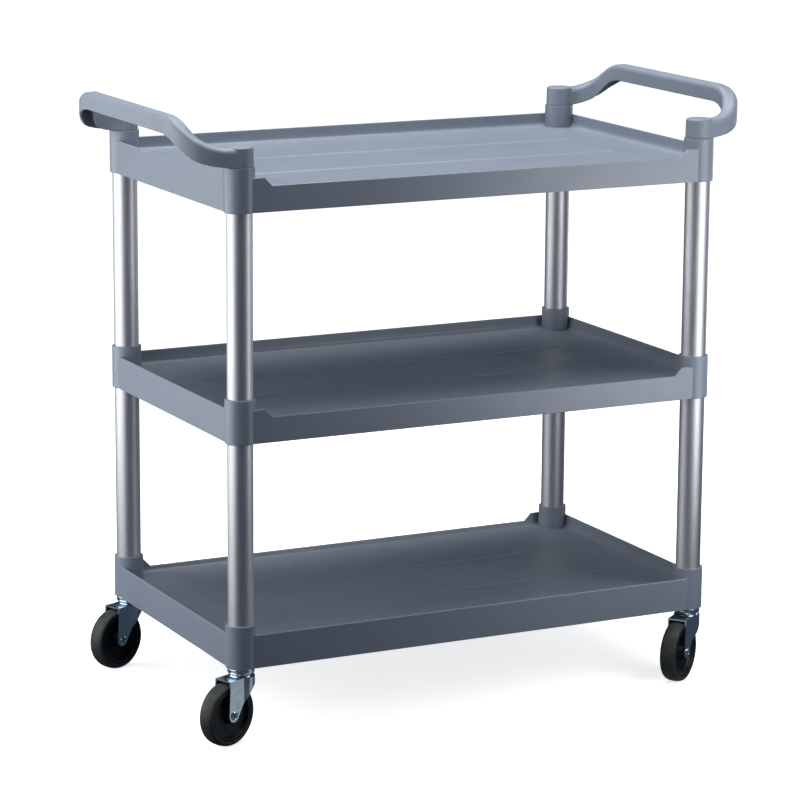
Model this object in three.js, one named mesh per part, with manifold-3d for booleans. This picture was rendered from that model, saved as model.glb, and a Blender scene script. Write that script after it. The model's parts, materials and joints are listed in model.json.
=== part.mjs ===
// Three-shelf food service trolley: moulded shelves on aluminium posts, two end handles, four swivel casters.
// Millimetres, +Z up. The origin is on the floor under the middle of the trolley. +X runs along the shelves
// and -Y is the loading side, where the two upper shelves have their lowered lip.
import * as THREE from "three";
import { mergeVertices } from "three/addons/utils/BufferGeometryUtils.js";
import Module from "manifold-3d";

const wasm = await Module();
wasm.setup();

// ---- driving dimensions ----
const GAP = 0.3; // clearance between parts that are fitted together
const POST_X = 420.5; // post axes, from the middle
const POST_Y = 239;
const TUBE_R = 21;
const TUBE_WALL = 1.5;
const CASTER_HEIGHT = 124; // floor to the bottom shelf's skirt
const SHELF_PITCH = 371;
const SHELF_Z = [0, 1, 2].map((i) => CASTER_HEIGHT + i * SHELF_PITCH);

const shelf = {
  halfX: POST_X + 21,
  halfY: POST_Y + 21,
  cornerR: 21,
  wall: 4,
  height: 55.5, // raised rim above the skirt's bottom edge
  lowLip: 42, // lowered lip on one long side
  deckTop: 33,
  deck: 4,
  cove: 9, // radius between deck and rim
  lipHalf: 373, // half length of the lowered lip
  lipRamp: 13, // length of the slope up to the raised rim
  grooveY: 81,
  grooveHalfX: 350,
  grooveWidth: 24,
  grooveDepth: 2,
  ribThickness: 3,
  ribBottom: 15,
};
const collar = { r: 25, height: 72, webBottom: 33, webTop: 37 };
const grip = {
  wall: 3.5,
  crown: 8, // rounding of the top edges
  footR: 23,
  footHeight: 32,
  pegLength: 34,
};
// Stations along half of a handle: distance outward from the post axes, distance from the trolley's centre
// line, underside and top above the shelf's skirt, and half the width.
const gripStations = [
  { out: 0, y: POST_Y, bottom: 72.3, top: 103.6, half: 22.5 },
  { out: 14, y: 239, bottom: 72.3, top: 103, half: 19.5 },
  { out: 31, y: 238, bottom: 73.3, top: 103.2, half: 15 },
  { out: 49, y: 234, bottom: 76.8, top: 108.4, half: 13.2 },
  { out: 67, y: 223, bottom: 85, top: 119, half: 13 },
  { out: 80, y: 205, bottom: 103, top: 135, half: 13 },
  { out: 85, y: 184, bottom: 115, top: 145, half: 13 },
  { out: 86, y: 162, bottom: 120, top: 149, half: 12.5 },
];
const caster = {
  trail: 34,
  wheelR: 52.5,
  treadWidth: 27.6,
  shoulder: 3.5, // how far the tread falls away at its edges
  coreR: 44,
  rimInnerR: 38,
  webHalf: 5,
  hubR: 13,
  hubHalf: 14,
  boreR: 6.4,
  bushR: 6.1,
  bushBoreR: 4.8,
  axleR: 4.5,
  axleHeadR: 7.2,
  sheet: 2.3,
  forkHalf: 17, // half the width over the fork's legs
  forkTop: 110.4,
  legEndR: 11,
  neckR: 22.5,
  cupR: 22,
  stemR: 6,
  stemTop: 146,
};
// Each caster's corner, and the way its wheel trails from the swivel axis, in degrees from +X.
const CASTERS = [
  { name: "front_left", sx: -1, sy: -1, heading: 203 },
  { name: "back_left", sx: -1, sy: 1, heading: 203 },
  { name: "front_right", sx: 1, sy: -1, heading: 216 },
  { name: "back_right", sx: 1, sy: 1, heading: 144 },
];
const POST_SEGMENTS = 20;
const WHEEL_SEGMENTS = 24;

// ---- materials ----
const plastic = new THREE.MeshStandardMaterial({ color: 0x6d7787, roughness: 0.45, metalness: 0 });
const aluminium = new THREE.MeshStandardMaterial({ color: 0xc4c6cc, roughness: 0.35, metalness: 1 });
const zinc = new THREE.MeshStandardMaterial({ color: 0xaab4bc, roughness: 0.3, metalness: 1 });
const rubber = new THREE.MeshStandardMaterial({ color: 0x3b3f3c, roughness: 0.7, metalness: 0 });
const blackPlastic = new THREE.MeshStandardMaterial({ color: 0x15161b, roughness: 0.5, metalness: 0 });

// ---- solids ----
function solid(geometry) {
  const g = geometry.index ? geometry.toNonIndexed() : geometry.clone();
  g.deleteAttribute("normal");
  g.deleteAttribute("uv");
  const merged = mergeVertices(g, 1e-4);
  return new wasm.Manifold(
    new wasm.Mesh({
      numProp: 3,
      vertProperties: merged.attributes.position.array,
      triVerts: new Uint32Array(merged.index.array),
    }),
  );
}

function geometryOf(manifold) {
  const m = manifold.getMesh();
  const positions = new Float32Array(m.numVert * 3);
  for (let i = 0; i < m.numVert; i++) {
    positions.set(m.vertProperties.subarray(i * m.numProp, i * m.numProp + 3), i * 3);
  }
  const g = new THREE.BufferGeometry();
  g.setAttribute("position", new THREE.BufferAttribute(positions, 3));
  g.setIndex(new THREE.BufferAttribute(m.triVerts, 1));
  g.computeVertexNormals();
  return g;
}

function roundedRect(halfX, halfY, r) {
  const s = new THREE.Shape();
  s.absarc(halfX - r, halfY - r, r, 0, Math.PI / 2);
  s.absarc(-halfX + r, halfY - r, r, Math.PI / 2, Math.PI);
  s.absarc(-halfX + r, -halfY + r, r, Math.PI, 1.5 * Math.PI);
  s.absarc(halfX - r, -halfY + r, r, 1.5 * Math.PI, 2 * Math.PI);
  return s;
}

function prism(shape, z0, z1, curveSegments = 5) {
  const g = new THREE.ExtrudeGeometry(shape, { depth: z1 - z0, bevelEnabled: false, curveSegments });
  return solid(g.translate(0, 0, z0));
}

function block(x0, x1, y0, y1, z0, z1) {
  const g = new THREE.BoxGeometry(x1 - x0, y1 - y0, z1 - z0);
  return solid(g.translate((x0 + x1) / 2, (y0 + y1) / 2, (z0 + z1) / 2));
}

// A solid of revolution about Z. Profile points are [radius, z], going anticlockwise in the (radius, z) plane.
function turned(profile, segments = POST_SEGMENTS) {
  const closed = [...profile, profile[0]].map(([r, z]) => new THREE.Vector2(r, z));
  const g = new THREE.LatheGeometry(closed, segments);
  return solid(g.rotateX(Math.PI / 2));
}

function disc(r, z0, z1, segments = POST_SEGMENTS) {
  const g = new THREE.CylinderGeometry(r, r, z1 - z0, segments);
  return solid(g.rotateX(Math.PI / 2).translate(0, 0, (z0 + z1) / 2));
}

function ring(outer, inner, z0, z1, segments = POST_SEGMENTS) {
  return disc(outer, z0, z1, segments).subtract(disc(inner, z0 - 1, z1 + 1, segments));
}

const atCorners = [-1, 1].flatMap((sx) => [-1, 1].map((sy) => [sx * POST_X, sy * POST_Y, 0]));

// ---- shelves: a shallow tray with a skirt, ribbed below, with a collar round each post ----
function trayCavity() {
  const g = new THREE.ExtrudeGeometry(
    roundedRect(shelf.halfX - shelf.wall, shelf.halfY - shelf.wall, shelf.cornerR - shelf.wall),
    {
      depth: shelf.height,
      bevelEnabled: true,
      bevelSize: shelf.cove,
      bevelOffset: -shelf.cove,
      bevelThickness: shelf.cove,
      bevelSegments: 2,
      curveSegments: 3,
    },
  );
  return solid(g.translate(0, 0, shelf.deckTop + shelf.cove));
}

function underCavity() {
  const inner = roundedRect(shelf.halfX - shelf.wall, shelf.halfY - shelf.wall, shelf.cornerR - shelf.wall);
  let cavity = prism(inner, -1, shelf.deckTop - shelf.deck, 4);
  const ceiling = shelf.deckTop - shelf.deck + 1;
  for (const x of [-240, -80, 80, 240]) {
    const t = shelf.ribThickness / 2;
    cavity = cavity.subtract(block(x - t, x + t, -shelf.halfY, shelf.halfY, shelf.ribBottom, ceiling));
  }
  for (const y of [-shelf.grooveY, shelf.grooveY]) {
    const t = shelf.ribThickness / 2;
    cavity = cavity.subtract(block(-shelf.halfX, shelf.halfX, y - t, y + t, shelf.ribBottom, ceiling));
  }
  return cavity;
}

function lipCut() {
  const s = new THREE.Shape();
  const over = shelf.height + 2;
  const slope = shelf.lipRamp / (shelf.height - shelf.lowLip);
  const topHalf = shelf.lipHalf + slope * (over - shelf.lowLip);
  s.moveTo(-shelf.lipHalf, shelf.lowLip);
  s.lineTo(shelf.lipHalf, shelf.lowLip);
  s.lineTo(topHalf, over);
  s.lineTo(-topHalf, over);
  const g = new THREE.ExtrudeGeometry(s, { depth: shelf.wall + 4, bevelEnabled: false });
  return solid(g.rotateX(Math.PI / 2).translate(0, -shelf.halfY + shelf.wall + 1, 0));
}

function shelfSolid() {
  let body = prism(roundedRect(shelf.halfX, shelf.halfY, shelf.cornerR), 0, shelf.height);
  body = body.subtract(trayCavity()).subtract(underCavity()).subtract(lipCut());
  for (const y of [-shelf.grooveY, shelf.grooveY]) {
    body = body.subtract(
      block(
        -shelf.grooveHalfX,
        shelf.grooveHalfX,
        y - shelf.grooveWidth / 2,
        y + shelf.grooveWidth / 2,
        shelf.deckTop - shelf.grooveDepth,
        shelf.deckTop + 1,
      ),
    );
  }
  for (const at of atCorners) {
    body = body.add(disc(collar.r, 0, collar.height).translate(at));
  }
  // A web across each collar stops the post that comes up from below and carries the one above
  for (const at of atCorners) {
    body = body.subtract(disc(TUBE_R + GAP, -1, collar.webBottom).translate(at));
    body = body.subtract(disc(TUBE_R + GAP, collar.webTop, collar.height + 1).translate(at));
  }
  return body;
}

// ---- handles: a channel section, open underneath, swept from one foot up and round to the other ----
function gripPath() {
  const centre = new THREE.CatmullRomCurve3(gripStations.map((s) => new THREE.Vector3(POST_X + s.out, -s.y, s.top)));
  const sizes = new THREE.CatmullRomCurve3(gripStations.map((s) => new THREE.Vector3(s.bottom, s.half, 0)));
  const steps = 10;
  const first = [];
  for (let i = 0; i <= steps; i++) {
    const at = centre.getPoint(i / steps);
    const size = sizes.getPoint(i / steps);
    first.push({ x: at.x, y: at.y, top: at.z, bottom: size.x, half: size.y });
  }
  const last = first.map((p) => ({ ...p, y: -p.y })).reverse();
  return [...first, ...last];
}

// Sweeps an upright section with rounded top corners along the path; inset shrinks it at the sides and top.
function sweep(path, inset, drop) {
  const positions = [];
  const n = 8;
  path.forEach((p, i) => {
    const before = path[Math.max(i - 1, 0)];
    const after = path[Math.min(i + 1, path.length - 1)];
    const along = new THREE.Vector3(after.x - before.x, after.y - before.y, 0).normalize();
    if (i === 0) along.set(1, 0, 0);
    if (i === path.length - 1) along.set(-1, 0, 0);
    const half = p.half - inset;
    const top = p.top - inset;
    const round = grip.crown - inset;
    const outline = [
      [-half, p.bottom - drop],
      [half, p.bottom - drop],
      [half, top - round],
      [half - round * 0.3, top - round * 0.3],
      [half - round, top],
      [-half + round, top],
      [-half + round * 0.3, top - round * 0.3],
      [-half, top - round],
    ];
    for (const [side, z] of outline) {
      positions.push(p.x + along.y * side, p.y - along.x * side, z);
    }
  });
  const faces = [];
  for (let i = 0; i < path.length - 1; i++) {
    for (let k = 0; k < n; k++) {
      const a = i * n + k;
      const b = i * n + ((k + 1) % n);
      faces.push(a, b + n, b, a, a + n, b + n);
    }
  }
  const end = (path.length - 1) * n;
  for (let k = 1; k < n - 1; k++) {
    faces.push(0, k, k + 1, end, end + k + 1, end + k);
  }
  const g = new THREE.BufferGeometry();
  g.setAttribute("position", new THREE.BufferAttribute(new Float32Array(positions), 3));
  g.setIndex(faces);
  return solid(g);
}

function handleSolid() {
  const path = gripPath();
  const hollow = path.slice(3, -3);
  let body = sweep(path, 0, 0).subtract(sweep(hollow, grip.wall, 6));
  for (const side of [-1, 1]) {
    const at = [POST_X, side * POST_Y, 0];
    const base = collar.height + GAP;
    const top = collar.height + grip.footHeight;
    const foot = turned([[0, base], [grip.footR, base], [grip.footR - 0.6, top - 3], [grip.footR - 3, top], [0, top]]);
    const peg = disc(TUBE_R, collar.height - grip.pegLength, collar.height + 2);
    body = body.add(foot.translate(at)).add(peg.translate(at));
  }
  return body;
}

// ---- casters, in their own frame: the swivel axis is Z, the floor is z = 0, and the wheel trails along +X ----
// The fork seen from above: square at its trailing end and rounded about the swivel axis in front.
function forkPlan(inset) {
  const c = caster;
  const half = c.forkHalf - inset;
  const r = c.neckR - inset;
  const s = new THREE.Shape();
  s.moveTo(60, -half);
  s.lineTo(60, half);
  s.lineTo(14.4, half);
  s.absarc(0, 0, r, THREE.MathUtils.degToRad(82), THREE.MathUtils.degToRad(278));
  s.lineTo(14.4, -half);
  return s;
}

// One leg seen from the side: square behind, round below the axle, and sloping forward to the swivel.
function legOutline() {
  const c = caster;
  const s = new THREE.Shape();
  const slope = THREE.MathUtils.degToRad(58);
  s.moveTo(c.trail + 8, c.forkTop);
  s.lineTo(c.trail + c.legEndR, c.wheelR);
  s.absarc(c.trail, c.wheelR, c.legEndR, 0, -Math.PI / 2 - slope + 0.55, true);
  s.lineTo(14.4, 65);
  s.lineTo(3.2, 82);
  s.lineTo(-10, 96);
  s.lineTo(-30, 99);
  s.lineTo(-30, c.forkTop);
  return s;
}

function forkSolid() {
  const c = caster;
  const top = c.forkTop;
  const profile = new THREE.ExtrudeGeometry(legOutline(), { depth: 60, bevelEnabled: false, curveSegments: 8 });
  const outer = prism(forkPlan(0), 20, top, 8);
  const inner = prism(forkPlan(c.sheet), 0, top - c.sheet, 8);
  const behind = block(c.trail, 120, -c.forkHalf + c.sheet, c.forkHalf - c.sheet, 0, top - c.sheet);
  const pinHole = disc(c.stemR + GAP, top - 5, top + 5, 12);
  const axleHole = solid(
    new THREE.CylinderGeometry(c.axleR + GAP, c.axleR + GAP, 60, 12).translate(c.trail, 0, c.wheelR),
  );
  return outer
    .intersect(solid(profile.rotateX(Math.PI / 2).translate(0, 30, 0)))
    .subtract(inner)
    .subtract(behind)
    .subtract(pinHole)
    .subtract(axleHole);
}

// Turned parts of the wheel: the profile is [radius, distance along the axle].
function onAxle(profile, segments = WHEEL_SEGMENTS) {
  const closed = [...profile, profile[0]].map(([r, y]) => new THREE.Vector2(r, y));
  const g = new THREE.LatheGeometry(closed, segments, Math.PI / 2);
  return solid(g.translate(caster.trail, 0, caster.wheelR));
}

function tyreSolid() {
  const h = caster.treadWidth / 2;
  const inner = caster.coreR + GAP;
  const shoulder = caster.wheelR - caster.shoulder;
  return onAxle([
    [inner, -h],
    [shoulder, -h],
    [caster.wheelR, -h / 2],
    [caster.wheelR, h / 2],
    [shoulder, h],
    [inner, h],
  ]);
}

function coreSolid() {
  const c = caster;
  const rim = c.treadWidth / 2 - 1;
  const half = [
    [c.boreR, c.hubHalf],
    [c.hubR, c.hubHalf],
    [c.hubR + 2, c.webHalf],
    [c.rimInnerR, c.webHalf],
    [c.rimInnerR + 1.5, rim],
    [c.coreR, rim],
  ];
  const mirrored = half.map(([r, y]) => [r, -y]);
  return onAxle([...mirrored, ...half.reverse()]);
}

function bushSolid() {
  const h = caster.hubHalf + 0.3;
  return onAxle([[caster.bushBoreR, -h], [caster.bushR, -h], [caster.bushR, h], [caster.bushBoreR, h]], 12);
}

// A rivet through both legs, with its ends opened out over them.
function axleSolid() {
  const c = caster;
  const leg = c.forkHalf + GAP;
  return onAxle(
    [
      [0, -leg - 1.6],
      [c.axleHeadR, -leg - 1],
      [c.axleHeadR, -leg],
      [c.axleR, -leg],
      [c.axleR, leg],
      [c.axleHeadR, leg],
      [c.axleHeadR, leg + 1],
      [0, leg + 1.6],
    ],
    12,
  );
}

// The upper race: a pressed cup that sits against the shelf's collar.
function cupSolid() {
  const c = caster;
  const bottom = c.forkTop + 3;
  const top = CASTER_HEIGHT - GAP;
  return turned([
    [c.stemR + GAP, bottom + 4],
    [c.cupR - 6, bottom + 4],
    [c.cupR - 4, bottom],
    [c.cupR - 1, bottom + 1],
    [c.cupR, bottom + 4],
    [c.cupR, top],
    [c.stemR + GAP, top],
  ]);
}

// The lower race, on top of the fork.
function lowerRaceSolid() {
  const c = caster;
  const bottom = c.forkTop + GAP;
  return turned([
    [c.stemR + GAP, bottom],
    [c.cupR - 3, bottom],
    [c.cupR - 4.5, bottom + 2],
    [c.cupR - 8, bottom + 2.6],
    [c.stemR + GAP, bottom + 2.6],
  ], 20);
}

// The pin that the fork turns on: a rivet head under the fork and a long stem up into the shelf.
function stemSolid() {
  const c = caster;
  const underFork = c.forkTop - c.sheet - GAP;
  return disc(c.stemR, underFork - 1, c.stemTop, 12).add(disc(10, underFork - 2.5, underFork, 12));
}

function plugSolid() {
  const top = CASTER_HEIGHT + collar.webBottom - GAP;
  return ring(TUBE_R, caster.stemR + GAP, CASTER_HEIGHT, top, 16);
}

// ---- assembly ----
const trolley = new THREE.Group();

function add(parent, name, manifold, material) {
  const mesh = new THREE.Mesh(geometryOf(manifold), material);
  mesh.name = name;
  parent.add(mesh);
  return mesh;
}

function buildShelves() {
  ["bottom_shelf", "middle_shelf", "top_shelf"].forEach((name, level) => {
    const mesh = add(trolley, name, shelfSolid(), plastic);
    mesh.position.z = SHELF_Z[level];
    // the bottom shelf is the same moulding turned end for end, so its lowered lip is at the back
    if (level === 0) mesh.rotation.z = Math.PI;
  });
}

function buildPosts() {
  const spans = {
    lower: [SHELF_Z[0] + collar.webTop + GAP, SHELF_Z[1] + collar.webBottom - GAP],
    upper: [SHELF_Z[1] + collar.webTop + GAP, SHELF_Z[2] + collar.webBottom - GAP],
  };
  for (const [span, [z0, z1]] of Object.entries(spans)) {
    for (const { name, sx, sy } of CASTERS) {
      const mesh = add(trolley, `${span}_post_${name}`, ring(TUBE_R, TUBE_R - TUBE_WALL, z0, z1), aluminium);
      mesh.position.set(sx * POST_X, sy * POST_Y, 0);
    }
  }
}

function buildHandles() {
  const right = add(trolley, "right_handle", handleSolid(), plastic);
  const left = add(trolley, "left_handle", handleSolid(), plastic);
  right.position.z = SHELF_Z[2];
  left.position.z = SHELF_Z[2];
  left.rotation.z = Math.PI;
}

function buildCasters() {
  for (const { name, sx, sy, heading } of CASTERS) {
    const group = new THREE.Group();
    group.position.set(sx * POST_X, sy * POST_Y, 0);
    group.rotation.z = THREE.MathUtils.degToRad(heading);
    add(group, `caster_plug_${name}`, plugSolid(), blackPlastic);
    add(group, `caster_stem_${name}`, stemSolid(), zinc);
    add(group, `upper_race_${name}`, cupSolid(), zinc);
    add(group, `lower_race_${name}`, lowerRaceSolid(), zinc);
    add(group, `fork_${name}`, forkSolid(), zinc);
    add(group, `axle_rivet_${name}`, axleSolid(), zinc);
    add(group, `wheel_core_${name}`, coreSolid(), blackPlastic);
    add(group, `axle_bush_${name}`, bushSolid(), zinc);
    add(group, `tyre_${name}`, tyreSolid(), rubber);
    trolley.add(group);
  }
}

buildShelves();
buildPosts();
buildHandles();
buildCasters();

export default trolley;
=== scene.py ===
import json
import math

import bmesh
import bpy
from mathutils import Matrix, Vector


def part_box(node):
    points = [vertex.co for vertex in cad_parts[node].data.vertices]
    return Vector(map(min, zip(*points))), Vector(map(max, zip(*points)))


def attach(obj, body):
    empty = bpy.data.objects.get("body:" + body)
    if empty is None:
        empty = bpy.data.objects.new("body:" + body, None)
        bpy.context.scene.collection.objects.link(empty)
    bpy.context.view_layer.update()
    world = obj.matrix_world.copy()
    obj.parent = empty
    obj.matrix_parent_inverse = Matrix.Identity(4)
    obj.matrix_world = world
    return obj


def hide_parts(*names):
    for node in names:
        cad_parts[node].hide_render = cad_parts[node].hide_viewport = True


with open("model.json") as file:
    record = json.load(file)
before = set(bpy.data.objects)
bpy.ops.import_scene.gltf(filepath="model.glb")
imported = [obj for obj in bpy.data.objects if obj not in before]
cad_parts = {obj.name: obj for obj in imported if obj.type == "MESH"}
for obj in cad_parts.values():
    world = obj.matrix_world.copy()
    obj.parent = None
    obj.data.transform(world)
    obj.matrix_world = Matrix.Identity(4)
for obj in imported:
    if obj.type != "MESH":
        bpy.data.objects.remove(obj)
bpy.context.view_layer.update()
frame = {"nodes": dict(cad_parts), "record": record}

# The food service trolley's finished surfaces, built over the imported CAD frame.
# Shapes are written in millimetres and set into the metre frame when a piece is made.
MM = 0.001

# Vertices closer than this merge, in a new mesh and along a boolean's seam, in millimetres.
MERGE = 0.001
SEAM_MERGE = 0.002

# ---- shelves, in millimetres ----
WALL = 4.0
RIM_ROUND = 1.5
COVE = 9.0
SKIRT = 55.5
LOW_LIP = 42.0
LIP_HALF = 373.0
LIP_RAMP = 13.0
LIP_MARGIN = 4.0
FRONT_STATIONS = [-200, 0, 200]
DECK_TOP = 33.0
DECK = 4.0
CORNER_R = 21.0
CORNER_STEPS = 8
COLLAR_R = 25.0
COLLAR_HEIGHT = 72.0
COLLAR_ROUND = 1.2
SOCKET_R = 21.25
SOCKET_LOW = 33.0
SOCKET_HIGH = 37.0
SOCKET_TURN = 0.6  # degrees, so that no corner of a socket falls on an edge of the collar
GROOVE_Y = 81.0
GROOVE_HALF_X = 350.0
GROOVE_HALF_WIDTH = 12.0
GROOVE_SLOPE = 7.5
GROOVE_DEPTH = 2.0
GROOVE_LEVELS = 6
RIB_XS = [-240, -80, 80, 240]
RIB_THICKNESS = 3.0
RIB_BOTTOM = 15.0

# ---- tubes and handles, in millimetres ----
TUBE_R = 21.0
TUBE_WALL = 1.5
TUBE_CHAMFER = 0.5
HANDLE_WALL = 3.5
HANDLE_CROWN = 9.0
FOOT_R = 23.0
FOOT_HEIGHT = 32.0
FOOT_GAP = 0.3
PEG_LENGTH = 34.0
PEG_CHAMFER = 1.0
# Along half of a handle: distance out from the posts, distance from the centre line,
# underside and top above the top shelf's lower edge, and half the width.
HANDLE_STATIONS = [
    (0, 239, 72.4, 103.6, 22.5),
    (14, 239, 72.4, 103, 19.5),
    (31, 238, 73.4, 103.2, 15),
    (49, 234, 76.8, 108.4, 13.2),
    (67, 223, 85, 119, 13),
    (80, 205, 103, 135, 13),
    (85, 184, 115, 145, 13),
    (86, 162, 120, 149, 12.5),
]
STATION_STEPS = 6
SOLID_SPANS = 2  # spans between stations, from each foot, that aren't hollow
CUT_BELOW = 8.0  # how far the cutter for the hollow reaches below the handle

# ---- casters, in millimetres ----
TRAIL = 34.0
WHEEL_R = 52.5
TREAD = 27.6
CORE_R = 44.0
FORK_HALF = 17.0
FORK_TOP = 110.4
FORK_SHEET = 2.3
FORK_BEVEL = 0.45
FORK_NECK_R = 22.5
FORK_REACH = 60.0  # behind the swivel axis, before the legs' outline trims it
LEG_END_R = 11.0
AXLE_HOLE_R = 4.8
PIN_HOLE_R = 6.3
RIVET_R = 7.2
RACE_R = 22.0
RACE_GAP = 0.3
CASTER_TOP = 124.0

# ---- shading ----
CREASE = 38  # degrees; sharper edges stay crisp
HANDLE_CREASE = 42

# ---- camera and stage ----
LENS = 149.8
SENSOR = 36
CAMERA_AZIMUTH = -26.72
CAMERA_ELEVATION = 12.26
CAMERA_ROLL = 0.4
CAMERA_DISTANCE = 5694.0
CAMERA_AIM = (-13, 6, 479)
# In metres: the floor's reach in front and behind, the radius it sweeps up with, its height
# at the back and half its width, then two corners of the floor card and its height.
FLOOR_REACH = 9.0
SWEEP_R = 3.0
BACKDROP_HEIGHT = 9.0
BACKDROP_HALF = 14.0
CARD_LOW = (-0.4, -0.5)
CARD_HIGH = (0.4, -0.25)
CARD_LIFT = 0.0005
SWEEP_STEPS = 12
# The floor's glow near the trolley and far from it, and the distances it changes between.
FLOOR_GLOW = (0.76, 1.02)
FLOOR_GLOW_REACH = (0.9, 3.6)
CARD_GLOW = 0.3
WORLD_COLOUR = (0.6, 0.81, 1.14, 1)
WORLD_STRENGTH = 0.088

# ---- layout, from the frame ----
joints = {j["name"]: j for j in frame["record"]["behaviour"]["joints"]}
corners = [name.removeprefix("swivel_") for name in joints if name.startswith("swivel_")]
posts = {c: Vector(joints[f"swivel_{c}"]["pos_m"]).xy / MM for c in corners}
POST_X = max(p.x for p in posts.values())
POST_Y = max(p.y for p in posts.values())
HALF_X = POST_X + CORNER_R
HALF_Y = POST_Y + CORNER_R


# ---- materials ----
class Nodes:
    """A small helper for building a material's node tree."""

    def __init__(self, name):
        self.material = bpy.data.materials.new(name)
        self.material.use_nodes = True
        self.tree = self.material.node_tree
        self.tree.nodes.clear()
        self.out = self.node("ShaderNodeOutputMaterial")
        self.shader = self.node("ShaderNodeBsdfPrincipled")
        self.link(self.shader, "BSDF", self.out, "Surface")
        self.coords = self.node("ShaderNodeTexCoord")

    def node(self, kind, **values):
        n = self.tree.nodes.new(kind)
        for key, value in values.items():
            n.inputs[key.replace("_", " ")].default_value = value
        return n

    def link(self, a, out, b, into):
        self.tree.links.new(a.outputs[out], b.inputs[into])

    def noise(self, scale, detail, stretch=(1, 1, 1)):
        mapping = self.node("ShaderNodeMapping")
        mapping.inputs["Scale"].default_value = stretch
        self.link(self.coords, "Object", mapping, "Vector")
        n = self.node("ShaderNodeTexNoise", Scale=scale, Detail=detail)
        self.link(mapping, "Vector", n, "Vector")
        return n

    def spread(self, source, out, low, high, start=0.35, end=0.65):
        """Map a texture's value onto a range."""
        m = self.node("ShaderNodeMapRange")
        m.inputs["From Min"].default_value = start
        m.inputs["From Max"].default_value = end
        m.inputs["To Min"].default_value = low
        m.inputs["To Max"].default_value = high
        self.link(source, out, m, "Value")
        return m

    def blend_colour(self, noise, a, b):
        ramp = self.node("ShaderNodeValToRGB")
        ramp.color_ramp.elements[0].color = (*a, 1)
        ramp.color_ramp.elements[0].position = 0.3
        ramp.color_ramp.elements[1].color = (*b, 1)
        ramp.color_ramp.elements[1].position = 0.7
        self.link(noise, "Fac", ramp, "Fac")
        self.link(ramp, "Color", self.shader, "Base Color")

    def bump(self, noise, distance, strength, under=None):
        b = self.node("ShaderNodeBump", Distance=distance, Strength=strength)
        self.link(noise, "Fac", b, "Height")
        if under is not None:
            self.link(under, "Normal", b, "Normal")
        self.link(b, "Normal", self.shader, "Normal")
        return b

    def roughness(self, noise, low, high):
        self.link(self.spread(noise, "Fac", low, high), "Result", self.shader, "Roughness")

    def specular(self, level):
        self.shader.inputs["Specular IOR Level"].default_value = level

    def metallic(self):
        self.shader.inputs["Metallic"].default_value = 1.0


def moulded_plastic(name, dark, light, rough):
    """Injection-moulded polypropylene: fine grain, faint flow mottling and uneven sheen."""
    m = Nodes(name)
    mottle = m.noise(7.0, 4.0, (0.6, 1.4, 1.0))
    grain = m.noise(1500.0, 2.0)
    waves = m.noise(9.0, 2.0)
    m.blend_colour(mottle, dark, light)
    m.roughness(m.noise(35.0, 5.0), *rough)
    sink = m.bump(waves, 0.0004, 0.4)
    m.bump(grain, 0.00006, 0.5, under=sink)
    return m.material


def anodised_aluminium():
    """Drawn tube, satin anodised: fine lines along its length."""
    m = Nodes("anodised_aluminium")
    lines = m.noise(900.0, 2.0, (1, 1, 0.02))
    cloud = m.noise(14.0, 3.0, (1, 1, 0.3))
    m.blend_colour(cloud, (0.455, 0.46, 0.49), (0.50, 0.505, 0.535))
    m.roughness(lines, 0.44, 0.54)
    m.bump(lines, 0.00001, 0.2)
    m.metallic()
    return m.material


def zinc_plate():
    """Bright zinc plate with a cool tint, its finish slightly clouded."""
    m = Nodes("zinc_plate")
    cloud = m.noise(120.0, 4.0)
    m.blend_colour(cloud, (0.485, 0.585, 0.655), (0.555, 0.655, 0.725))
    m.roughness(m.noise(160.0, 3.0), 0.2, 0.27)
    m.bump(m.noise(900.0, 2.0), 0.000006, 0.3)
    m.metallic()
    return m.material


def tyre_rubber():
    """Dark grey rubber with a fine grain and a little dust."""
    m = Nodes("tyre_rubber")
    m.blend_colour(m.noise(45.0, 5.0), (0.017, 0.021, 0.019), (0.030, 0.035, 0.031))
    m.roughness(m.noise(70.0, 4.0), 0.5, 0.72)
    m.bump(m.noise(1800.0, 3.0), 0.00008, 0.6)
    m.specular(0.35)
    return m.material


def black_plastic():
    """Black moulded plastic, fairly matt."""
    m = Nodes("black_plastic")
    m.blend_colour(m.noise(30.0, 3.0), (0.004, 0.005, 0.010), (0.007, 0.008, 0.015))
    m.roughness(m.noise(60.0, 3.0), 0.42, 0.58)
    m.bump(m.noise(1400.0, 2.0), 0.00005, 0.5)
    m.specular(0.3)
    return m.material


PLASTIC = moulded_plastic(
    "grey_polypropylene", (0.172, 0.2, 0.246), (0.184, 0.213, 0.262), (0.38, 0.45)
)
HANDLE_PLASTIC = moulded_plastic(
    "handle_polypropylene", (0.17, 0.198, 0.244), (0.182, 0.211, 0.26), (0.5, 0.6)
)
ALUMINIUM = anodised_aluminium()
ZINC = zinc_plate()
RUBBER = tyre_rubber()
BLACK = black_plastic()
SLOTS = {
    "grey_plastic": PLASTIC,
    "aluminium": ALUMINIUM,
    "zinc": ZINC,
    "tyre_rubber": RUBBER,
    "black_plastic": BLACK,
}


# ---- mesh helpers ----
def mesh_from(name, verts, faces):
    mesh = bpy.data.meshes.new(name)
    mesh.from_pydata([tuple(v) for v in verts], [], faces)
    bm = bmesh.new()
    bm.from_mesh(mesh)
    bmesh.ops.remove_doubles(bm, verts=bm.verts, dist=MERGE)
    bmesh.ops.recalc_face_normals(bm, faces=bm.faces)
    bm.to_mesh(mesh)
    bm.free()
    return mesh


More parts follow.
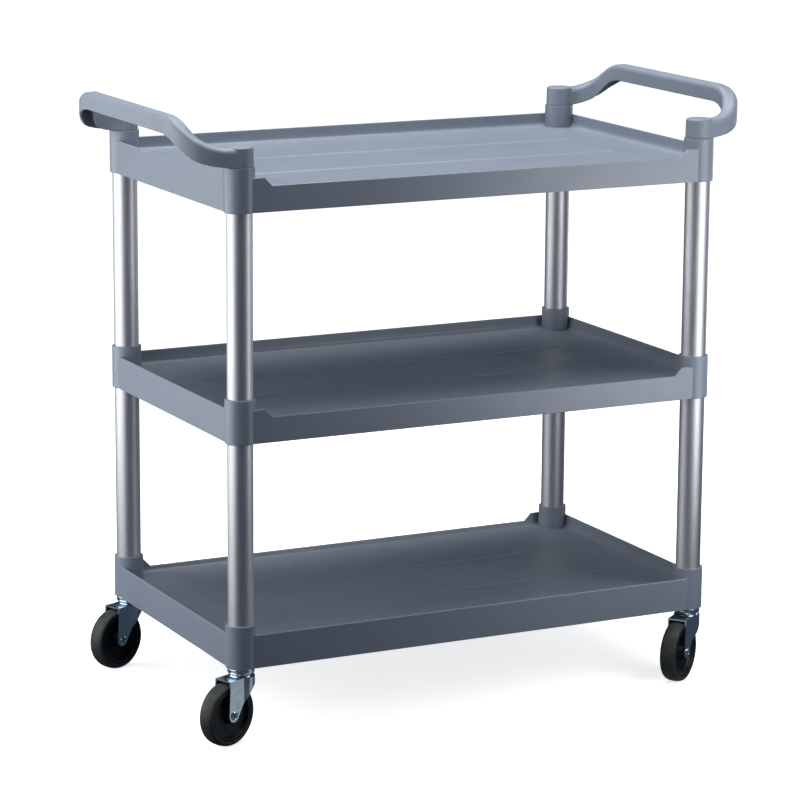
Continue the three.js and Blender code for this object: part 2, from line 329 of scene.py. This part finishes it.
def rings_to_mesh(name, rings, closed_along):
    """Skin a list of equal closed rings; unless they come back to the start, cap the ends."""
    n = len(rings[0])
    verts = [v for ring in rings for v in ring]
    faces = []
    spans = len(rings) if closed_along else len(rings) - 1
    for i in range(spans):
        a = i * n
        b = ((i + 1) % len(rings)) * n
        for k in range(n):
            j = (k + 1) % n
            faces.append((a + k, a + j, b + j, b + k))
    if not closed_along:
        faces.append(tuple(range(n)))
        faces.append(tuple(range(len(verts) - n, len(verts))))
    return mesh_from(name, verts, faces)


def lathe(name, profile, segments=72):
    """Turn a closed profile of (radius, z) about Z; points on the axis merge into one."""
    rings = []
    for i in range(segments):
        a = 2 * math.pi * i / segments
        rings.append([(r * math.cos(a), r * math.sin(a), z) for r, z in profile])
    return rings_to_mesh(name, rings, True)


def rod(name, radius, z0, z1, segments):
    """A plain round bar, used to cut holes."""
    return lathe(name, [(0, z0), (radius, z0), (radius, z1), (0, z1)], segments)


def prism(name, outline, z0, z1):
    n = len(outline)
    verts = [(x, y, z0) for x, y in outline] + [(x, y, z1) for x, y in outline]
    faces = [tuple(range(n - 1, -1, -1)), tuple(range(n, 2 * n))]
    faces += [(k, (k + 1) % n, n + (k + 1) % n, n + k) for k in range(n)]
    return mesh_from(name, verts, faces)


def block(x0, x1, y0, y1, z0, z1):
    return prism("block", [(x0, y0), (x1, y0), (x1, y1), (x0, y1)], z0, z1)


def moved(mesh, matrix):
    mesh.transform(matrix)
    return mesh


def weld(mesh):
    """Merge the near-coincident vertices that a boolean leaves along a seam."""
    bm = bmesh.new()
    bm.from_mesh(mesh)
    bmesh.ops.remove_doubles(bm, verts=bm.verts, dist=SEAM_MERGE)
    bmesh.ops.dissolve_degenerate(bm, dist=SEAM_MERGE, edges=bm.edges)
    bm.to_mesh(mesh)
    bm.free()
    return mesh


def combine(base, others, operation):
    """Boolean one mesh with several others, applied."""
    work = bpy.data.objects.new("work", base)
    bpy.context.scene.collection.objects.link(work)
    tools = []
    for other in others:
        tool = bpy.data.objects.new("tool", other)
        bpy.context.scene.collection.objects.link(tool)
        tools.append(tool)
        step = work.modifiers.new("step", "BOOLEAN")
        step.operation = operation
        step.solver = "EXACT"
        step.object = tool
    bpy.context.view_layer.update()
    shown = work.evaluated_get(bpy.context.evaluated_depsgraph_get())
    result = bpy.data.meshes.new_from_object(shown)
    for o in [work, *tools]:
        bpy.data.objects.remove(o)
    return weld(result)


def arc(cx, cy, r, a0, a1, steps):
    """Points on an arc, angles in degrees."""
    out = []
    for i in range(steps + 1):
        a = math.radians(a0 + (a1 - a0) * i / steps)
        out.append((cx + r * math.cos(a), cy + r * math.sin(a)))
    return out


def mirrored_profile(half):
    """A turned profile of (radius, z) that is the same on both sides of z = 0."""
    return half + [(r, -z) for r, z in reversed(half)]


def sharpen(mesh, angle):
    """Shade smooth, keeping edges sharper than the angle crisp."""
    bm = bmesh.new()
    bm.from_mesh(mesh)
    limit = math.radians(angle)
    for f in bm.faces:
        f.smooth = True
    for e in bm.edges:
        e.smooth = e.is_manifold and e.calc_face_angle(0) < limit
    bm.to_mesh(mesh)
    bm.free()


def piece(name, mesh, material, body, replaced, bevel=0.0, angle=CREASE):
    """Put a finished piece, drawn in millimetres, on a CAD body."""
    copy = mesh.copy()
    copy.name = name
    copy.transform(Matrix.Scale(MM, 4))
    sharpen(copy, angle)
    copy.materials.clear()
    copy.materials.append(material)
    o = bpy.data.objects.new(name, copy)
    bpy.context.scene.collection.objects.link(o)
    if bevel:
        b = o.modifiers.new("edges", "BEVEL")
        b.width = bevel * MM
        b.segments = 2
        b.limit_method = "ANGLE"
        b.angle_limit = math.radians(angle)
        b.harden_normals = True
    w = o.modifiers.new("normals", "WEIGHTED_NORMAL")
    w.keep_sharp = True
    w.weight = 80
    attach(o, body)
    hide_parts(replaced)


# ---- shelves ----
def tray_outline():
    """Points round the tray's outside, each with the inward direction; corners are arcs."""
    out = []
    half_x = HALF_X - CORNER_R
    half_y = HALF_Y - CORNER_R
    ramp_ends = [
        LIP_HALF + LIP_RAMP + LIP_MARGIN, LIP_HALF + LIP_RAMP, LIP_HALF, LIP_HALF - LIP_MARGIN,
    ]
    for x in [-x for x in ramp_ends] + FRONT_STATIONS + ramp_ends[::-1]:
        out.append((x, -HALF_Y, 0, 1))
    for sx, sy, start in ((1, -1, -90), (1, 1, 0), (-1, 1, 90), (-1, -1, 180)):
        for i in range(CORNER_STEPS + 1):
            a = math.radians(start + 90 * i / CORNER_STEPS)
            c = math.cos(a)
            s = math.sin(a)
            out.append((sx * half_x + CORNER_R * c, sy * half_y + CORNER_R * s, -c, -s))
    return out


def rim_height(x, y):
    """The rim is lower along most of the front, with a slope at each end."""
    if y > -HALF_Y + 1:
        return SKIRT
    t = (abs(x) - LIP_HALF) / LIP_RAMP
    return LOW_LIP + (SKIRT - LOW_LIP) * min(max(t, 0), 1)


def wall_section(height):
    """(inward distance, z): deck, cove, over the rim, down the outside and under the deck."""
    top = height - RIM_ROUND
    soffit = DECK_TOP - DECK
    cove = [
        (WALL + COVE + x, DECK_TOP + COVE + z) for x, z in arc(0, 0, COVE, -90, -150, 4)
    ]
    inner = [(WALL + 0.35, min(DECK_TOP + COVE, top - 0.2)), (WALL, top)]
    rim = arc(WALL - RIM_ROUND, top, RIM_ROUND, 30, 90, 2)
    rim += arc(RIM_ROUND, top, RIM_ROUND, 90, 180, 3)
    outside = [
        (0, 0.8), (0.25, 0.25), (0.8, 0), (WALL - 0.8, 0), (WALL - 0.25, 0.25), (WALL, 0.8),
    ]
    under = [(WALL, soffit - 3), (WALL + 0.9, soffit - 0.9), (WALL + 3, soffit)]
    return cove + inner + rim + outside + under


def groove_ring(y, inset, z):
    """One level of a long groove with rounded ends."""
    r = GROOVE_HALF_WIDTH - inset
    x = GROOVE_HALF_X - GROOVE_HALF_WIDTH
    right = [(x + px, y + py, z) for px, py in arc(0, 0, r, -90, 90, 8)]
    left = [(-x + px, y + py, z) for px, py in arc(0, 0, r, 90, 270, 8)]
    return right + left


def groove_levels():
    """(inset, drop) from the groove's edge to its floor, easing in and out."""
    out = []
    for k in range(GROOVE_LEVELS + 1):
        ease = 0.5 - 0.5 * math.cos(math.pi * k / GROOVE_LEVELS)
        out.append((GROOVE_SLOPE * k / GROOVE_LEVELS, -GROOVE_DEPTH * ease))
    return out


def fill_between(verts, faces, loops):
    """Triangulate the flat region inside the first loop and outside the others."""
    bm = bmesh.new()
    lookup = []
    for loop in loops:
        made = [bm.verts.new(verts[i]) for i in loop]
        lookup += loop
        for k, v in enumerate(made):
            bm.edges.new((v, made[(k + 1) % len(made)]))
    bmesh.ops.triangle_fill(
        bm, use_beauty=True, use_dissolve=False, edges=bm.edges, normal=(0, 0, 1)
    )
    bm.verts.index_update()
    for f in bm.faces:
        faces.append(tuple(lookup[v.index] for v in f.verts))
    bm.free()


def tray_mesh():
    """The tray as one closed skin: deck with grooves, cove, rim, skirt and underside."""
    outline = tray_outline()
    verts = []
    faces = []
    for x, y, nx, ny in outline:
        for d, z in wall_section(rim_height(x, y)):
            verts.append((x + nx * d, y + ny * d, z))
    n = len(wall_section(SKIRT))
    count = len(outline)
    for i in range(count):
        a = i * n
        b = ((i + 1) % count) * n
        for k in range(n - 1):
            faces.append((a + k, a + k + 1, b + k + 1, b + k))
    deck_edge = [i * n for i in range(count)]
    under_edge = [i * n + n - 1 for i in range(count)]
    holes = []
    for y in (-GROOVE_Y, GROOVE_Y):
        rings = []
        for inset, drop in groove_levels():
            start = len(verts)
            verts += groove_ring(y, inset, DECK_TOP + drop)
            rings.append(list(range(start, len(verts))))
        for upper, lower in zip(rings, rings[1:]):
            for k in range(len(upper)):
                j = (k + 1) % len(upper)
                faces.append((upper[k], upper[j], lower[j], lower[k]))
        faces.append(tuple(rings[-1]))
        holes.append(rings[0])
    fill_between(verts, faces, [deck_edge, *holes])
    faces.append(tuple(under_edge))
    return mesh_from("tray", verts, faces)


def collar_mesh():
    r = COLLAR_R
    top = COLLAR_HEIGHT
    return lathe("collar", [
        (0, 0), (r - 0.8, 0), (r, 0.8),
        (r, top - COLLAR_ROUND), (r - 0.35, top - 0.35), (r - COLLAR_ROUND, top), (0, top),
    ], 96)


def shelf_mesh():
    """Tray, collars and ribs in one, with a stepped socket through each collar."""
    solids = []
    for p in posts.values():
        solids.append(moved(collar_mesh(), Matrix.Translation((p.x, p.y, 0))))
    t = RIB_THICKNESS / 2
    ceiling = DECK_TOP - DECK + 1
    for x in RIB_XS:
        solids.append(block(x - t, x + t, -HALF_Y + 2, HALF_Y - 2, RIB_BOTTOM, ceiling))
    for y in (-GROOVE_Y, GROOVE_Y):
        solids.append(block(-HALF_X + 2, HALF_X - 2, y - t, y + t, RIB_BOTTOM, ceiling))
    shelf = combine(tray_mesh(), solids, "UNION")
    turn = Matrix.Rotation(math.radians(SOCKET_TURN), 4, "Z")
    sockets = []
    for p in posts.values():
        at = Matrix.Translation((p.x, p.y, 0)) @ turn
        for z0, z1 in ((-2, SOCKET_LOW), (SOCKET_HIGH, COLLAR_HEIGHT + 2)):
            sockets.append(moved(rod("socket", SOCKET_R, z0, z1, 72), at))
    return combine(shelf, sockets, "DIFFERENCE")


def build_shelves():
    moulding = shelf_mesh()
    for name in ("bottom_shelf", "middle_shelf", "top_shelf"):
        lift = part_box(name)[0].z / MM
        # The bottom shelf is the same moulding turned end for end.
        turn = Matrix.Rotation(math.pi if name == "bottom_shelf" else 0, 4, "Z")
        mesh = moved(moulding.copy(), Matrix.Translation((0, 0, lift)) @ turn)
        piece(f"{name}_moulding", mesh, PLASTIC, "frame", name)


# ---- posts ----
def build_posts():
    inner = TUBE_R - TUBE_WALL
    e = TUBE_CHAMFER
    for span in ("lower", "upper"):
        for c in corners:
            node = f"{span}_post_{c}"
            low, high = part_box(node)
            z0 = low.z / MM
            z1 = high.z / MM
            tube = lathe(node, [
                (inner, z0 + e), (inner + e, z0), (TUBE_R - e, z0), (TUBE_R, z0 + e),
                (TUBE_R, z1 - e), (TUBE_R - e, z1), (inner + e, z1), (inner, z1 - e),
            ], 80)
            moved(tube, Matrix.Translation((posts[c].x, posts[c].y, 0)))
            piece(f"{node}_tube", tube, ALUMINIUM, "frame", node)


# ---- handles ----
def smooth_stations():
    """A Catmull-Rom curve through the stations."""
    p = [Vector(s) for s in HANDLE_STATIONS]
    p = [2 * p[0] - p[1], *p, 2 * p[-1] - p[-2]]
    out = []
    for i in range(1, len(p) - 2):
        for k in range(STATION_STEPS):
            t = k / STATION_STEPS
            a = 2 * p[i]
            b = (p[i + 1] - p[i - 1]) * t
            c = (2 * p[i - 1] - 5 * p[i] + 4 * p[i + 1] - p[i + 2]) * t * t
            d = (3 * p[i] - p[i - 1] - 3 * p[i + 1] + p[i + 2]) * t * t * t
            out.append((a + b + c + d) / 2)
    out.append(p[-2])
    return out


def handle_section(half, bottom, top, inset, drop):
    """Upright section with a rounded top: (sideways, z), shrunk by inset at the sides and top."""
    h = half - inset
    t = top - inset
    r = HANDLE_CROWN - inset
    edge = 1.0 if inset == 0 else 0.0
    low = bottom - drop
    pts = [(-h + edge, low), (h - edge, low), (h, low + edge)]
    pts += arc(h - r, t - r, r, 0, 90, 7)
    pts += arc(-h + r, t - r, r, 90, 180, 7)
    pts += [(-h, low + edge)]
    return pts


def handle_sweep(stations, inset, drop):
    """Sweep the section along the stations, square to the post at both ends."""
    rings = []
    for i, (out, y, bottom, top, half) in enumerate(stations):
        before = stations[max(i - 1, 0)]
        after = stations[min(i + 1, len(stations) - 1)]
        along = Vector((after[0] - before[0], after[1] - before[1]))
        if i == 0:
            along = Vector((1, 0))
        if i == len(stations) - 1:
            along = Vector((-1, 0))
        along.normalize()
        section = handle_section(half, bottom, top, inset, drop)
        rings.append([(POST_X + out + along.y * w, y - along.x * w, z) for w, z in section])
    return rings_to_mesh("sweep", rings, False)


def foot_mesh():
    """A handle's round foot on the collar, with the peg below it."""
    peg = COLLAR_HEIGHT - PEG_LENGTH
    base = COLLAR_HEIGHT + FOOT_GAP
    top = COLLAR_HEIGHT + FOOT_HEIGHT
    return lathe("foot", [
        (0, peg), (TUBE_R - PEG_CHAMFER, peg), (TUBE_R, peg + PEG_CHAMFER), (TUBE_R, base),
        (FOOT_R - 0.7, base), (FOOT_R, base + 0.7), (FOOT_R - 0.6, top - 3.2),
        (FOOT_R - 1.0, top - 1.6), (FOOT_R - 2.1, top - 0.5), (FOOT_R - 3.6, top), (0, top),
    ], 80)


def handle_mesh():
    half = smooth_stations()
    path = [(s[0], -s[1], s[2], s[3], s[4]) for s in half]
    path += [tuple(s) for s in reversed(half)]
    solid = SOLID_SPANS * STATION_STEPS
    open_part = path[solid:-solid]
    body = handle_sweep(path, 0, 0)
    feet = []
    for side in (-1, 1):
        feet.append(moved(foot_mesh(), Matrix.Translation((POST_X, side * POST_Y, 0))))
    body = combine(body, feet, "UNION")
    return combine(body, [handle_sweep(open_part, HANDLE_WALL, CUT_BELOW)], "DIFFERENCE")


def build_handles():
    moulding = handle_mesh()
    lift = Matrix.Translation((0, 0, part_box("top_shelf")[0].z / MM))
    for name, angle in (("right_handle", 0), ("left_handle", math.pi)):
        mesh = moved(moulding.copy(), lift @ Matrix.Rotation(angle, 4, "Z"))
        piece(
            f"{name}_grip", mesh, HANDLE_PLASTIC, "frame", name,
            angle=HANDLE_CREASE,
        )


# ---- casters: the swivel axis is Z, the floor is at zero and the wheel trails along +X ----
def fork_plan(inset):
    """The fork from above: straight legs that bend out to a round neck."""
    half = FORK_HALF - inset
    front = arc(0, 0, FORK_NECK_R - inset, 80, 280, 44)
    bend = [(12.2, half), (11.0, half + 0.25), (10.0, half + 0.8)]
    mirrored = [(x, -y) for x, y in reversed(bend)]
    return [(FORK_REACH, -half), (FORK_REACH, half), *bend, *front, *mirrored]


def leg_outline():
    """A leg from the side: round below the axle, then sloping forward up to the neck."""
    return [
        (TRAIL + 8, FORK_TOP + 5), *arc(TRAIL, WHEEL_R, LEG_END_R, 0, -148, 24),
        (14.4, 64.5), (8.5, 73.5), (3.2, 82), (-3, 90), (-10, 95.5), (-20, 98.2), (-30, 99),
        (-30, FORK_TOP + 5),
    ]


def fork_mesh():
    upright = Matrix.Rotation(math.pi / 2, 4, "X")
    outer = prism("fork", fork_plan(0), 20, FORK_TOP)
    legs = moved(prism("legs", leg_outline(), -40, 40), upright)
    inner = prism("inside", fork_plan(FORK_SHEET), 0, FORK_TOP - FORK_SHEET)
    axle_hole = rod("hole", AXLE_HOLE_R, -60, 60, 32)
    moved(axle_hole, Matrix.Translation((TRAIL, 0, WHEEL_R)) @ upright)
    pin_hole = rod("pin", PIN_HOLE_R, FORK_TOP - 9, FORK_TOP + 9, 32)
    shell = combine(outer, [legs], "INTERSECT")
    return combine(shell, [inner, axle_hole, pin_hole], "DIFFERENCE")


def upper_race_mesh():
    """The fixed ring under the collar, with a rolled lip at its lower edge."""
    r = RACE_R
    b = FORK_TOP + 3
    top = CASTER_TOP - RACE_GAP
    return lathe("race", [
        (PIN_HOLE_R, b + 3.6), (r - 6, b + 3.6), (r - 5, b + 0.4), (r - 3.2, b),
        (r - 1.6, b + 0.8), (r - 0.5, b + 2.2), (r, b + 4), (r, top - 1.6),
        (r - 0.5, top - 0.5), (r - 1.6, top), (PIN_HOLE_R, top),
    ], 96)


def lower_race_mesh():
    """The dished ring on top of the fork."""
    r = RACE_R
    b = FORK_TOP + RACE_GAP
    return lathe("lower race", [
        (PIN_HOLE_R, b), (r - 3, b), (r - 3.2, b + 0.8), (r - 4.5, b + 1.9), (r - 6, b + 1.5),
        (r - 8, b + 2.5), (PIN_HOLE_R, b + 2.5),
    ], 96)


def rivet_mesh():
    """The axle: a rivet with a rolled, hollow end outside each leg."""
    leg = FORK_HALF + 0.3
    half = [
        (0, leg - 3), (4.0, leg - 3), (4.4, leg - 2.6), (4.5, leg + 0.6), (4.9, leg + 1.5),
        (5.5, leg + 1.8), (RIVET_R - 1.0, leg + 1.6), (RIVET_R - 0.2, leg + 1.0),
        (RIVET_R, leg + 0.2), (RIVET_R, leg), (4.5, leg),
    ]
    return lathe("rivet", [(r, -z) for r, z in half] + half[::-1], 48)


def tyre_mesh():
    """The tyre, its tread rounded away to the shoulders."""
    h = TREAD / 2
    r = WHEEL_R
    inner = CORE_R + 0.3
    return lathe("tyre", mirrored_profile([
        (inner, h - 0.9), (inner + 0.5, h - 0.4), (inner + 1.4, h - 0.1), (r - 4.6, h),
        (r - 3.5, h - 0.5), (r - 2.4, h - 1.7), (r - 1.3, h - 4.0), (r - 0.5, h - 7.4),
        (r, 1.5),
    ]), 112)


def core_mesh():
    """The wheel's core: hub, dished web and rim."""
    rim = TREAD / 2 - 1
    return lathe("core", mirrored_profile([
        (6.4, 13.6), (6.9, 14.0), (12.2, 14.0), (13.0, 13.4), (13.6, 9.5), (15.2, 6.0),
        (17.5, 5.0), (31.0, 5.0), (35.4, 5.8), (37.4, 8.4), (38.2, rim - 0.9), (39.0, rim),
        (CORE_R - 0.6, rim), (CORE_R, rim - 0.6),
    ]), 112)


def build_casters():
    fork = fork_mesh()
    upper_race = upper_race_mesh()
    lower_race = lower_race_mesh()
    rivet = rivet_mesh()
    tyre = tyre_mesh()
    core = core_mesh()
    axle = Matrix.Translation((TRAIL, 0, WHEEL_R)) @ Matrix.Rotation(math.pi / 2, 4, "X")
    for c in corners:
        swivel = Vector(joints[f"swivel_{c}"]["pos_m"]) / MM
        wheel = Vector(joints[f"roll_{c}"]["pos_m"]) / MM
        heading = math.atan2(wheel.y - swivel.y, wheel.x - swivel.x)
        place = Matrix.Translation((swivel.x, swivel.y, 0)) @ Matrix.Rotation(heading, 4, "Z")
        fork_body = f"fork_body_{c}"
        wheel_body = f"wheel_{c}"
        parts = [
            ("upper_race", upper_race, place, ZINC, "frame", "zinc", 0.0),
            ("lower_race", lower_race, place, ZINC, fork_body, "zinc", 0.0),
            ("fork", fork, place, ZINC, fork_body, "zinc", FORK_BEVEL),
            ("axle_rivet", rivet, place @ axle, ZINC, fork_body, "zinc", 0.0),
            ("tyre", tyre, place @ axle, RUBBER, wheel_body, "tyre_rubber", 0.0),
            ("wheel_core", core, place @ axle, BLACK, wheel_body, "black_plastic", 0.0),
        ]
        for kind, mesh, matrix, material, body, slot, bevel in parts:
            node = f"{kind}_{c}"
            piece(f"{node}_part", moved(mesh.copy(), matrix), material, body, node, bevel)


def finish_cad_nodes():
    """The CAD nodes that stay in view get their slot's material."""
    by_node = {s["node"]: s["material_slot"] for s in frame["record"]["subparts"]}
    for name, o in frame["nodes"].items():
        if isinstance(o, bpy.types.Object) and not o.hide_render:
            if not o.material_slots:
                o.data.materials.append(None)
            for held in o.material_slots:
                held.material = SLOTS[by_node[name]]


# ---- stage ----
def build_backdrop():
    """A pale floor that sweeps up behind. It glows a little more away from the trolley."""
    section = [(-FLOOR_REACH, 0.0)]
    for k in range(SWEEP_STEPS + 1):
        a = math.pi / 2 * k / SWEEP_STEPS
        section.append((FLOOR_REACH + SWEEP_R * math.sin(a), SWEEP_R - SWEEP_R * math.cos(a)))
    section.append((FLOOR_REACH + SWEEP_R, BACKDROP_HEIGHT))
    verts = [(x, y, z) for y, z in section for x in (-BACKDROP_HALF, BACKDROP_HALF)]
    faces = [(2 * i, 2 * i + 1, 2 * i + 3, 2 * i + 2) for i in range(len(section) - 1)]
    mesh = bpy.data.meshes.new("backdrop")
    mesh.from_pydata(verts, [], faces)
    mesh.shade_smooth()
    m = Nodes("pale_floor")
    m.blend_colour(m.noise(1.5, 2.0), (0.8, 0.8, 0.8), (0.83, 0.83, 0.83))
    m.shader.inputs["Roughness"].default_value = 0.8
    m.specular(0.1)
    m.shader.inputs["Emission Color"].default_value = (1, 1, 1, 1)
    away = m.node("ShaderNodeVectorMath")
    away.operation = "LENGTH"
    m.link(m.coords, "Object", away, "Vector")
    glow = m.spread(away, "Value", *FLOOR_GLOW, *FLOOR_GLOW_REACH)
    m.link(glow, "Result", m.shader, "Emission Strength")
    mesh.materials.append(m.material)
    backdrop = bpy.data.objects.new("backdrop", mesh)
    backdrop.matrix_world = Matrix.Rotation(math.radians(CAMERA_AZIMUTH), 4, "Z")
    backdrop.visible_diffuse = False
    backdrop.visible_glossy = False
    bpy.context.scene.collection.objects.link(backdrop)


def build_floor_card():
    """A card on the floor that only shows as a reflection in the near caster."""
    x0, y0 = CARD_LOW
    x1, y1 = CARD_HIGH
    mesh = bpy.data.meshes.new("floor_card")
    mesh.from_pydata([(x0, y0, 0), (x1, y0, 0), (x1, y1, 0), (x0, y1, 0)], [], [(0, 1, 2, 3)])
    glow = Nodes("card_glow")
    glow.shader.inputs["Base Color"].default_value = (0, 0, 0, 1)
    glow.shader.inputs["Emission Color"].default_value = (1, 1, 1, 1)
    glow.shader.inputs["Emission Strength"].default_value = CARD_GLOW
    mesh.materials.append(glow.material)
    card = bpy.data.objects.new("floor_card", mesh)
    card.location.z = CARD_LIFT
    card.visible_camera = False
    card.visible_diffuse = False
    card.visible_shadow = False
    bpy.context.scene.collection.objects.link(card)


def soft_light(name, at, aim, size, power):
    data = bpy.data.lights.new(name, "AREA")
    data.shape = "RECTANGLE"
    data.size = size[0]
    data.size_y = size[1]
    data.energy = power
    o = bpy.data.objects.new(name, data)
    o.location = at
    o.rotation_euler = (Vector(aim) - Vector(at)).to_track_quat("-Z", "Y").to_euler()
    o.visible_camera = False
    bpy.context.scene.collection.objects.link(o)


def build_lights():
    """Four soft lights, in metres, and a dim cool world that the camera sees as white."""
    soft_light("left_key", (-1.4, 0.38, 0.78), (0, 0.2, 0.76), (1.9, 1.4), 27)
    soft_light("overhead", (-0.1, 0.05, 3.0), (0, 0, 0.9), (2.4, 1.8), 108)
    soft_light("right_front", (0.6, -0.78, 0.68), (0.36, -0.2, 0.64), (0.5, 0.85), 5.4)
    soft_light("back_right", (2.4, 0.9, 0.9), (0, 0, 0.55), (1.0, 1.6), 10)
    world = bpy.data.worlds.new("studio")
    world.use_nodes = True
    tree = world.node_tree
    ambient = tree.nodes["Background"]
    ambient.inputs["Color"].default_value = WORLD_COLOUR
    ambient.inputs["Strength"].default_value = WORLD_STRENGTH
    seen = tree.nodes.new("ShaderNodeBackground")
    seen.inputs["Color"].default_value = (1, 1, 1, 1)
    rays = tree.nodes.new("ShaderNodeLightPath")
    choose = tree.nodes.new("ShaderNodeMixShader")
    tree.links.new(rays.outputs["Is Camera Ray"], choose.inputs["Fac"])
    tree.links.new(ambient.outputs["Background"], choose.inputs[1])
    tree.links.new(seen.outputs["Background"], choose.inputs[2])
    tree.links.new(choose.outputs["Shader"], tree.nodes["World Output"].inputs["Surface"])
    bpy.context.scene.world = world
    bpy.context.scene.view_settings.view_transform = "Standard"


def build_camera():
    a = math.radians(CAMERA_AZIMUTH)
    e = math.radians(CAMERA_ELEVATION)
    roll = math.radians(CAMERA_ROLL)
    back = Vector((math.sin(a) * math.cos(e), -math.cos(a) * math.cos(e), math.sin(e)))
    right = (-back).cross(Vector((0, 0, 1))).normalized()
    up = right.cross(-back)
    right_rolled = right * math.cos(roll) + up * math.sin(roll)
    up_rolled = up * math.cos(roll) - right * math.sin(roll)
    data = bpy.data.cameras.new("camera")
    data.lens = LENS
    data.sensor_width = SENSOR
    camera = bpy.data.objects.new("camera", data)
    matrix = Matrix((right_rolled, up_rolled, back)).transposed().to_4x4()
    matrix.translation = (Vector(CAMERA_AIM) + back * CAMERA_DISTANCE) * MM
    camera.matrix_world = matrix
    bpy.context.scene.collection.objects.link(camera)
    bpy.context.scene.camera = camera


build_shelves()
build_posts()
build_handles()
build_casters()
finish_cad_nodes()
build_backdrop()
build_floor_card()
build_lights()
build_camera()
